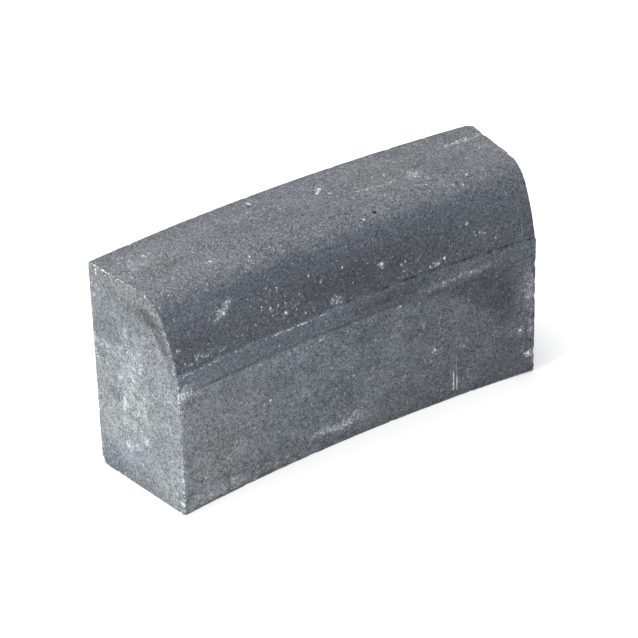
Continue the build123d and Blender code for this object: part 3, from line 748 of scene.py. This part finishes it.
skin_lines += [(at(-LEN, 135, 250), at(-LEN, 97, 250), 1.25, 0.62), (at(-LEN, 97, 250), at(-LEN, 77, 250), 1.0, 0.26), (at(-LEN, 76, 250), at(-LEN, 62, 249.6), 1.3, 0.55)]
skin_lines += [(at(-LEN, *a), at(-LEN, *b_), 1.2, 0.34) for a, b_ in zip(NOSE_EDGE, NOSE_EDGE[1:])]
core_lines = [(at(-LEN, 0, 138), at(-LEN, 0, 66), 1.25, 0.34), (at(-LEN, 0, 66), at(-LEN, 0, 3), 1.3, 0.46)]
# painted shade: the open pore on the flank, drawn almost black in the material
skin_hole_shade = [(on_curve(51, 82), 2.3)]

stain = np.stack([np.clip(bloom, 0, 1.2), np.clip(damp, 0, 1.2), np.clip(dust, 0, 1)], 1)
# channels: pale arris lines with the painted burr highlight, tone, and the dark joint line with the painted seam shade
lines_tone_and_shade = np.stack([np.clip(np.maximum(edge_line, burr_highlight_line), 0, 1.3), tone, np.clip(joint_line_and_crease_shade, 0, 1.5)], 1)
form = np.stack([flat_top, np.clip(smooth_skin + 0.8 * band, 0, 1), np.clip(worn / 1.2, 0, 1)], 1)
flow = np.stack([np.where(frontm, s / 1000.0, 9.0), z / 1000.0, np.clip(pit, 0, 1)], 1)
extra = np.stack([np.clip(crumbs, 0, 1), 0 * s, 0 * s], 1)

# ------------------------------------------------------------------ faces
kk = np.arange(K - 1)[:, None]


def strip(m_from, m_to):
    m = np.arange(m_from, m_to)[None, :]
    a, b = kk * M + m % M, kk * M + (m + 1) % M
    c_, d_ = (kk + 1) * M + (m + 1) % M, (kk + 1) * M + m % M
    return np.stack([a, d_, c_, b], -1).reshape(-1, 4)


lids = np.array([[lid(k, j) for j in range(L)] for k in range(K)])
a, b = lids[:-1, :-1], lids[:-1, 1:]
c_, d_ = lids[1:, 1:], lids[1:, :-1]
under_faces = np.stack([a, b, c_, d_], -1).reshape(-1, 4)  # seen from below: the skin's side
skin_quads = np.vstack([strip(0, N_SKIN), under_faces])
core_quads = np.vstack([strip(N_SKIN, M), under_faces[:, ::-1]])


def build(name, quads, tris):
    used = np.unique(np.concatenate([quads.ravel(), tris.ravel()]))
    lut = np.full(NV, -1)
    lut[used] = np.arange(len(used))
    quads, tris = lut[quads], lut[tris]
    me = bpy.data.meshes.new(name)
    nq, ntr = len(quads), len(tris)
    me.vertices.add(len(used))
    me.vertices.foreach_set("co", co[used].astype(np.float32).ravel())
    me.loops.add(nq * 4 + ntr * 3)
    me.loops.foreach_set("vertex_index", np.concatenate([quads.ravel(), tris.ravel()]).astype(np.int32))
    me.polygons.add(nq + ntr)
    me.polygons.foreach_set("loop_start", np.concatenate([np.arange(nq) * 4, nq * 4 + np.arange(ntr) * 3]).astype(np.int32))
    me.update(calc_edges=True)
    me.validate(verbose=False)
    # all faces the same way round, outwards
    v = co[used]
    t1 = np.concatenate([quads[:, [0, 1, 2]], quads[:, [0, 2, 3]], tris])
    vol = np.einsum("ij,ij->i", v[t1[:, 0]], np.cross(v[t1[:, 1]], v[t1[:, 2]])).sum() / 6
    if vol < 0:
        me.flip_normals()
    for key, data in (("stain", stain), ("line_tone_shade", lines_tone_and_shade), ("form", form), ("flow", flow), ("extra", extra)):
        at = me.attributes.new(key, "FLOAT_VECTOR", "POINT")
        at.data.foreach_set("vector", data[used].astype(np.float32).ravel())
    me.polygons.foreach_set("use_smooth", np.ones(len(me.polygons), bool))
    ob = bpy.data.objects.new(name, me)
    bpy.context.scene.collection.objects.link(ob)
    # keep the skin's hidden underside from bending the shading of the visible faces
    me.set_sharp_from_angle(angle=math.radians(58))
    ob["volume_l"] = abs(vol) * 1000
    print(name, "verts", len(used), "faces", nq + ntr, "tris", nq * 2 + ntr, "volume l", round(abs(vol) * 1000, 3))
    return ob


skin = build("facing_skin", skin_quads, np.vstack(cap_faces["skin"]))
core = build("core_body", core_quads, np.vstack(cap_faces["core"]))


# ------------------------------------------------------------------ materials
class Graph:
    def __init__(self, name):
        self.mat = bpy.data.materials.new(name)
        self.mat.use_nodes = True
        self.nt = self.mat.node_tree
        self.nt.nodes.clear()

    def node(self, kind, **values):
        n = self.nt.nodes.new(kind)
        for k, v in values.items():
            setattr(n, k, v)
        return n

    def put(self, socket, value):
        if isinstance(value, bpy.types.NodeSocket):
            self.nt.links.new(value, socket)
        elif value is not None:
            socket.default_value = value

    def math(self, op, a, b=None, c=None, clamp=False):
        n = self.node("ShaderNodeMath", operation=op, use_clamp=clamp)
        for i, v in enumerate((a, b, c)):
            self.put(n.inputs[i], v)
        return n.outputs[0]

    def attr(self, name):
        a = self.node("ShaderNodeAttribute", attribute_name=name)
        sp = self.node("ShaderNodeSeparateXYZ")
        self.put(sp.inputs[0], a.outputs["Vector"])
        return sp.outputs

    def noise(self, vec, scale, detail=2.0, rough=0.5, kind="FBM", distortion=0.0):
        n = self.node("ShaderNodeTexNoise", noise_dimensions="3D")
        self.put(n.inputs["Vector"], vec)
        self.put(n.inputs["Scale"], scale)
        self.put(n.inputs["Detail"], detail)
        self.put(n.inputs["Roughness"], rough)
        self.put(n.inputs["Distortion"], distortion)
        return n.outputs["Fac"]

    def cells(self, vec, scale, feature="F1", rand=1.0):
        n = self.node("ShaderNodeTexVoronoi", voronoi_dimensions="3D", feature=feature)
        self.put(n.inputs["Vector"], vec)
        self.put(n.inputs["Scale"], scale)
        self.put(n.inputs["Randomness"], rand)
        return n

    def ramp(self, x, a, b, lo_=0.0, hi_=1.0, kind="SMOOTHSTEP"):
        n = self.node("ShaderNodeMapRange", interpolation_type=kind, clamp=True)
        self.put(n.inputs["Value"], x)
        self.put(n.inputs["From Min"], a)
        self.put(n.inputs["From Max"], b)
        self.put(n.inputs["To Min"], lo_)
        self.put(n.inputs["To Max"], hi_)
        return n.outputs["Result"]

    def mix(self, f, a, b, blend="MIX"):
        n = self.node("ShaderNodeMix", data_type="RGBA", blend_type=blend, clamp_factor=True)
        self.put(n.inputs["Factor"], f)
        self.put(n.inputs[6], a)
        self.put(n.inputs[7], b)
        return n.outputs[2]

    def scale_colour(self, col, k):
        n = self.node("ShaderNodeVectorMath", operation="SCALE")
        self.put(n.inputs[0], col if isinstance(col, bpy.types.NodeSocket) else tuple(col)[:3])
        self.put(n.inputs["Scale"], k)
        return n.outputs[0]


def concrete(name, base, top_base, bloom_and_highlight_col, grain, cell_amp, pore_amount, cloud, specks, hairlines=(), holes=(), scratches=()):
    g = Graph(name)
    tc = g.node("ShaderNodeTexCoord")
    pos = tc.outputs["Object"]
    bloom_, damp_, dust_ = g.attr("stain")
    pale_line_and_highlight_, tone_, joint_and_crease_shade_ = g.attr("line_tone_shade")
    top_, skin_, worn_ = g.attr("form")
    along_, high_, pit_ = g.attr("flow")
    crumbs_, _, _ = g.attr("extra")

    def centred(x, k):
        return g.math("MULTIPLY", g.math("SUBTRACT", x, 0.5), k)

    def colours(node):
        sp = g.node("ShaderNodeSeparateColor")
        g.put(sp.inputs[0], node.outputs["Color"])
        return sp.outputs[0], sp.outputs[1], sp.outputs[2]

    n1 = g.noise(pos, 900.0, 1.0, 0.6)     # about 1 mm sand
    n2 = g.noise(pos, 420.0, 2.0, 0.6)     # 2 to 3 mm
    n3 = g.noise(pos, 150.0, 3.0, 0.55)    # 7 mm mottling
    n4 = g.noise(pos, 38.0, 4.0, 0.55)     # 25 mm clouds
    n5 = g.noise(pos, 11.0, 3.0, 0.5)      # large drift
    sand = g.cells(pos, 720.0)             # sand grains, each with a grey of its own
    sand_r, sand_g, _ = colours(sand)
    cell = g.cells(pos, 300.0)             # 3 mm aggregate
    cellv, _, _ = colours(cell)

    # grain is quieter on the mould-polished flank
    quiet = g.ramp(skin_, 0.0, 1.0, 1.0, 0.88, "LINEAR")
    fine_ = g.math("ADD", centred(sand_r, grain), centred(n1, 1.5 * grain))
    fine_ = g.math("ADD", fine_, centred(n2, 0.95 * grain))
    fine_ = g.math("ADD", fine_, centred(cellv, cell_amp))
    fine_ = g.math("MULTIPLY", fine_, quiet)
    coarse = g.math("ADD", centred(n3, 0.72), centred(n4, 0.70))
    coarse = g.math("MULTIPLY", g.math("ADD", coarse, centred(n5, 0.30)), cloud)
    level = g.math("ADD", g.math("ADD", fine_, coarse), 1.0)

    # a few dark and a few pale grains among them
    pale = g.ramp(sand_g, 0.955, 0.975)
    dark = g.ramp(sand_g, 0.045, 0.025)
    level = g.math("ADD", level, g.math("MULTIPLY", pale, 0.30))
    level = g.math("SUBTRACT", level, g.math("MULTIPLY", dark, 0.40))
    level = g.math("MAXIMUM", level, 0.22)

    # pin holes, painted darker inside as shade, and blow holes painted darker with their depth as shade
    ph = g.cells(pos, 95.0)
    ph_r, ph_g, _ = colours(ph)
    size_ = g.ramp(ph_r, 0.0, 1.0, 0.03, 0.12, "LINEAR")
    hole = g.math("MULTIPLY", g.ramp(g.math("SUBTRACT", ph.outputs["Distance"], size_), 0.03, -0.01), g.ramp(ph_g, 1 - pore_amount, 1 - pore_amount + 0.02))
    level = g.math("MULTIPLY", level, g.ramp(hole, 0.0, 1.0, 1.0, 0.45, "LINEAR"))
    level = g.math("MULTIPLY", level, g.ramp(pit_, 0.0, 1.0, 1.0, 0.72, "LINEAR"))

    # damp areas, the dark joint line at the skin's lower edge, and painted shade in the seam's crease and inner corner
    dampf = g.math("MULTIPLY", damp_, g.ramp(g.math("ADD", n4, centred(n3, 0.9)), 0.28, 0.70, 0.50, 1.20, "LINEAR"))
    level = g.math("MULTIPLY", level, g.math("SUBTRACT", 1.0, g.math("MULTIPLY", dampf, 0.56)))
    broken = g.math("MULTIPLY", joint_and_crease_shade_, g.ramp(g.math("ADD", n2, centred(sand_r, 0.30)), 0.36, 0.56, 0.45, 1.10))
    level = g.math("MULTIPLY", level, g.math("SUBTRACT", 1.0, g.math("MULTIPLY", broken, 0.58)))
    level = g.math("MULTIPLY", level, tone_)

    col = g.mix(top_, base, top_base)
    drift = g.ramp(g.math("ADD", n5, centred(n4, 0.5)), 0.42, 0.66, 0.0, 0.28)
    drift = g.math("MULTIPLY", drift, g.ramp(skin_, 0.0, 1.0, 1.0, 0.15, "LINEAR"))
    col = g.mix(drift, col, g.mix(1.0, col, (1.06, 1.02, 0.955, 1.0), "MULTIPLY"))
    dusty = g.mix(g.math("MULTIPLY", dust_, 0.85), col, g.mix(1.0, col, (1.11, 1.07, 0.965, 1.0), "MULTIPLY"))
    dusty = g.mix(g.math("MULTIPLY", dampf, 0.75), dusty, g.mix(1.0, dusty, (0.975, 0.995, 1.06, 1.0), "MULTIPLY"))
    col = g.scale_colour(dusty, level)

    # rubbed arrises and breaks show paler, fresher paste
    wornf = g.ramp(g.math("ADD", worn_, centred(n2, 1.2)), 0.45, 1.05, 0.0, 0.40)
    col = g.mix(wornf, col, g.scale_colour(bloom_and_highlight_col, g.math("ADD", 0.55, centred(n1, 0.6))))

    # lime bloom: a thin veil, then crumbs where it is thick; then pale arris lines and a painted highlight along the
    # seam's burr
    rough_mix = g.math("ADD", g.math("ADD", g.math("ADD", centred(n2, 1.9), centred(n3, 0.9)), centred(n1, 1.3)), centred(sand_r, 0.55))
    veil = g.math("MULTIPLY", g.ramp(g.math("ADD", g.math("ADD", g.math("MULTIPLY", bloom_, 1.10), centred(n3, 0.9)), centred(n2, 0.7)), 0.15, 1.10), 0.34)
    col = g.mix(veil, col, bloom_and_highlight_col)
    crumb = g.ramp(g.math("ADD", g.math("MULTIPLY", bloom_, 0.95), rough_mix), 0.72, 1.15, 0.0, 0.90)
    col = g.mix(crumb, col, g.scale_colour(bloom_and_highlight_col, 1.15))
    pale_line_and_highlight_mask = g.ramp(g.math("ADD", pale_line_and_highlight_, g.math("MULTIPLY", rough_mix, 0.9)), 0.42, 1.0, 0.0, 0.92)
    col = g.mix(pale_line_and_highlight_mask, col, g.scale_colour(bloom_and_highlight_col, 1.25))

    # scattered white crumbs: flecks where a broken noise passes a level that the mask lowers
    off = g.node("ShaderNodeVectorMath", operation="ADD")
    g.put(off.inputs[0], pos)
    g.put(off.inputs[1], (3.1, 1.7, 5.3))
    nf = g.noise(off.outputs[0], 310.0, 4.0, 0.72)
    over = g.math("ADD", nf, g.math("MULTIPLY", crumbs_, 0.20))
    spots = g.math("MULTIPLY", g.ramp(over, 0.700, 0.790), g.ramp(crumbs_, 0.02, 0.14))
    col = g.mix(g.math("MULTIPLY", spots, 0.84), col, g.scale_colour(bloom_and_highlight_col, g.math("ADD", 1.02, centred(sand_r, 0.4))))

    # single specks and hairlines, at their own places, with ragged outlines
    ragged = g.node("ShaderNodeTexNoise", noise_dimensions="3D")
    g.put(ragged.inputs["Vector"], pos)
    g.put(ragged.inputs["Scale"], 620.0)
    g.put(ragged.inputs["Detail"], 2.0)
    here = g.node("ShaderNodeVectorMath", operation="MULTIPLY_ADD")
    g.put(here.inputs[0], ragged.outputs["Color"])
    g.put(here.inputs[1], (0.0032, 0.0032, 0.0032))
    g.put(here.inputs[2], pos)
    here, shift = here.outputs[0], 0.0016

    def vec(op, a, b_=None, k=None):
        n = g.node("ShaderNodeVectorMath", operation=op)
        g.put(n.inputs[0], a)
        g.put(n.inputs[1], b_)
        if k is not None:
            g.put(n.inputs["Scale"], k)
        return n

    mark = None
    for p_, r_, k_ in specks:
        f = g.ramp(vec("DISTANCE", here, tuple(p_ + shift)).outputs["Value"], r_ * 0.00045, r_ * 0.00120, k_, 0.0)
        mark = f if mark is None else g.math("MAXIMUM", mark, f)
    gaps = g.ramp(g.math("ADD", n2, centred(n1, 0.8)), 0.42, 0.60, 0.10, 1.0)
    for a_, b_, half, k_ in hairlines:
        ab = b_ - a_
        v = vec("SUBTRACT", here, tuple(a_ + shift)).outputs[0]
        t_ = g.math("ADD", vec("DOT_PRODUCT", v, tuple(ab / (ab @ ab))).outputs["Value"], 0.0, clamp=True)
        n = vec("DISTANCE", v, vec("SCALE", tuple(ab), None, t_).outputs[0])
        f = g.ramp(n.outputs["Value"], half * 0.0005, half * 0.0013, k_, 0.0)
        mark = g.math("MAXIMUM", mark, g.math("MULTIPLY", f, gaps))
    col = g.mix(g.math("MULTIPLY", mark, 0.86), col, g.scale_colour(bloom_and_highlight_col, g.math("ADD", 1.12, centred(sand_r, 0.4))))
    # painted shade: the open pore on the flank is painted almost black inside
    for p_, r_ in holes:
        f = g.ramp(vec("DISTANCE", pos, tuple(p_)).outputs["Value"], r_ * 0.0007, r_ * 0.0010, 0.05, 1.0)
        col = g.scale_colour(col, f)

    # short upright scrapes on the front
    for at, half, z0, z1, amp in scratches:
        across = g.ramp(g.math("ABSOLUTE", g.math("SUBTRACT", g.math("ADD", along_, centred(n3, 0.002)), at)), half, half * 0.35)
        up = g.math("MULTIPLY", g.ramp(high_, z0, z0 + 0.004), g.ramp(high_, z1, z1 - 0.012))
        f = g.math("MULTIPLY", g.math("MULTIPLY", across, up), g.ramp(g.math("ADD", n2, centred(n1, 0.8)), 0.34, 0.55, 0.35, 1.0))
        col = g.mix(g.math("MULTIPLY", f, amp), col, g.scale_colour(bloom_and_highlight_col, 1.2))

    # roughness
    rough_ = g.math("ADD", 0.80, centred(n3, 0.22))
    rough_ = g.math("ADD", rough_, centred(n1, 0.10))
    rough_ = g.math("SUBTRACT", rough_, g.math("MULTIPLY", damp_, 0.10))
    rough_ = g.math("SUBTRACT", rough_, g.math("MULTIPLY", skin_, 0.09))
    rough_ = g.math("ADD", rough_, g.math("MULTIPLY", crumb, 0.15), clamp=True)

    # relief: sand grains, pin holes, lime crumbs
    hgt = g.math("ADD", centred(n1, 0.7), centred(n2, 0.9))
    hgt = g.math("ADD", hgt, centred(n3, 0.9))
    hgt = g.math("ADD", hgt, g.math("MULTIPLY", cell.outputs["Distance"], -0.35))
    hgt = g.math("ADD", hgt, g.math("MULTIPLY", sand.outputs["Distance"], -0.35))
    hgt = g.math("MULTIPLY", hgt, g.ramp(skin_, 0.0, 1.0, 1.0, 0.7, "LINEAR"))
    hgt = g.math("SUBTRACT", hgt, g.math("MULTIPLY", hole, 1.6))
    hgt = g.math("ADD", hgt, g.math("MULTIPLY", g.math("MAXIMUM", crumb, spots), 0.5))
    bump = g.node("ShaderNodeBump")
    g.put(bump.inputs["Strength"], 0.60)
    g.put(bump.inputs["Distance"], 0.0006)
    g.put(bump.inputs["Height"], hgt)

    bsdf = g.node("ShaderNodeBsdfPrincipled")
    g.put(bsdf.inputs["Base Color"], col)
    g.put(bsdf.inputs["Roughness"], rough_)
    g.put(bsdf.inputs["Specular IOR Level"], 0.3)
    g.put(bsdf.inputs["Normal"], bump.outputs[0])
    out = g.node("ShaderNodeOutputMaterial")
    g.put(out.inputs["Surface"], bsdf.outputs[0])
    return g.mat


BLOOM_AND_HIGHLIGHT = (0.60, 0.635, 0.665, 1.0)
SCRAPES = ((0.1268, 0.0012, 0.010, 0.040, 0.95), (0.1312, 0.0010, 0.008, 0.034, 0.85), (0.1306, 0.0006, 0.030, 0.060, 0.30))
facing_mat = concrete("facing_concrete", (0.0915, 0.104, 0.1225, 1.0), (0.122, 0.132, 0.1465, 1.0), BLOOM_AND_HIGHLIGHT, 0.94, 0.18, 0.14, 0.70, skin_marks, skin_lines, skin_hole_shade)
core_mat = concrete("core_concrete", (0.133, 0.149, 0.1695, 1.0), (0.1335, 0.149, 0.1695, 1.0), BLOOM_AND_HIGHLIGHT, 0.88, 0.22, 0.26, 1.12, core_marks, core_lines, scratches=SCRAPES)
skin.data.materials.append(facing_mat)
core.data.materials.append(core_mat)

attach(skin, "root")
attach(core, "root")
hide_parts("facing_layer")
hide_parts("core_concrete")

# ------------------------------------------------------------------ floor, light, camera
me = bpy.data.meshes.new("studio_floor")
F = 6.0
me.from_pydata([(-F, -F, -0.0003), (F, -F, -0.0003), (F, F, -0.0003), (-F, F, -0.0003)], [], [(0, 1, 2, 3)])
floor = bpy.data.objects.new("studio_floor", me)
bpy.context.scene.collection.objects.link(floor)
fm = Graph("studio_floor")
fb = fm.node("ShaderNodeBsdfPrincipled")
fm.put(fb.inputs["Base Color"], (0.92, 0.92, 0.925, 1.0))
fm.put(fb.inputs["Roughness"], 0.9)
fm.put(fb.inputs["Specular IOR Level"], 0.0)
# painted light: for camera rays the floor glows on top of its own shading, strongly left of x 0.18 m and weakly beyond
# x 0.262 m, which paints out the stone's shadow except beyond its right end
glow = fm.node("ShaderNodeEmission")
fm.put(glow.inputs["Color"], (1.0, 1.0, 1.0, 1.0))
fm.put(glow.inputs["Strength"], 0.36)
dim = fm.node("ShaderNodeBsdfDiffuse")
fm.put(dim.inputs["Color"], (0.72, 0.72, 0.725, 1.0))
seen = fm.node("ShaderNodeAddShader")
fm.put(seen.inputs[0], dim.outputs[0])
fm.put(seen.inputs[1], glow.outputs[0])
ftc = fm.node("ShaderNodeTexCoord")
fxyz = fm.node("ShaderNodeSeparateXYZ")
fm.put(fxyz.inputs[0], ftc.outputs["Object"])
dim_share = fm.ramp(fxyz.outputs[0], 0.18, 0.262, 0.30, 0.94)
fm.put(dim.inputs["Color"], fm.scale_colour((1.0, 1.0, 1.005), dim_share))
fm.put(glow.inputs["Strength"], fm.ramp(fxyz.outputs[0], 0.18, 0.262, 0.74, 0.13))
ray = fm.node("ShaderNodeLightPath")
both = fm.node("ShaderNodeMixShader")
fm.put(both.inputs[0], ray.outputs["Is Camera Ray"])
fm.put(both.inputs[1], fb.outputs[0])
fm.put(both.inputs[2], seen.outputs[0])
fo = fm.node("ShaderNodeOutputMaterial")
fm.put(fo.inputs["Surface"], both.outputs[0])
me.materials.append(fm.mat)

world = bpy.data.worlds.new("studio")
bpy.context.scene.world = world
world.use_nodes = True
wn = world.node_tree
soft = wn.nodes["Background"]
soft.inputs["Color"].default_value = (1.0, 1.0, 1.0, 1.0)
soft.inputs["Strength"].default_value = 0.80
blank = wn.nodes.new("ShaderNodeBackground")  # what the camera sees past the floor: the same white
blank.inputs["Color"].default_value = (1.0, 1.0, 1.0, 1.0)
blank.inputs["Strength"].default_value = 1.0
wray, wmix = wn.nodes.new("ShaderNodeLightPath"), wn.nodes.new("ShaderNodeMixShader")
wn.links.new(wray.outputs["Is Camera Ray"], wmix.inputs[0])
wn.links.new(soft.outputs[0], wmix.inputs[1])
wn.links.new(blank.outputs[0], wmix.inputs[2])
wn.links.new(wmix.outputs[0], wn.nodes["World Output"].inputs["Surface"])


def area(name, where, aim, size, watts):
    data = bpy.data.lights.new(name, "AREA")
    data.shape = "SQUARE"
    data.size = size
    data.energy = watts
    ob = bpy.data.objects.new(name, data)
    ob.location = where
    ob.rotation_mode = "QUATERNION"
    ob.rotation_quaternion = (Vector(aim) - Vector(where)).to_track_quat("-Z", "Y")
    bpy.context.scene.collection.objects.link(ob)
    return ob


area("key_left", (-2.6, 0.1, 1.5), (0, 0, 0.12), 1.4, 62.0)
area("top_soft", (-0.3, 0.5, 2.8), (0, 0, 0.1), 2.0, 40.0)

cam_data = bpy.data.cameras.new("camera")
cam_data.sensor_width = 36.0
cam_data.lens = 161.74
cam_data.shift_x = 0.0004
cam_data.clip_start, cam_data.clip_end = 0.1, 100.0
cam = bpy.data.objects.new("camera", cam_data)
rot = Matrix(((0.8161166821, 0.3176126473, -0.4827792119),
              (-0.5774380839, 0.4152690272, -0.7029344879),
              (-0.0227776299, 0.8524516651, 0.5223096192)))
cam.matrix_world = Matrix.Translation(Vector((-1.49841828, -2.17398797, 1.73494865))) @ rot.to_4x4()
bpy.context.scene.collection.objects.link(cam)
bpy.context.scene.camera = cam
bpy.context.scene.view_settings.view_transform = "Standard"
bpy.context.scene.view_settings.look = "None"
bpy.context.scene.view_settings.exposure = 0.0
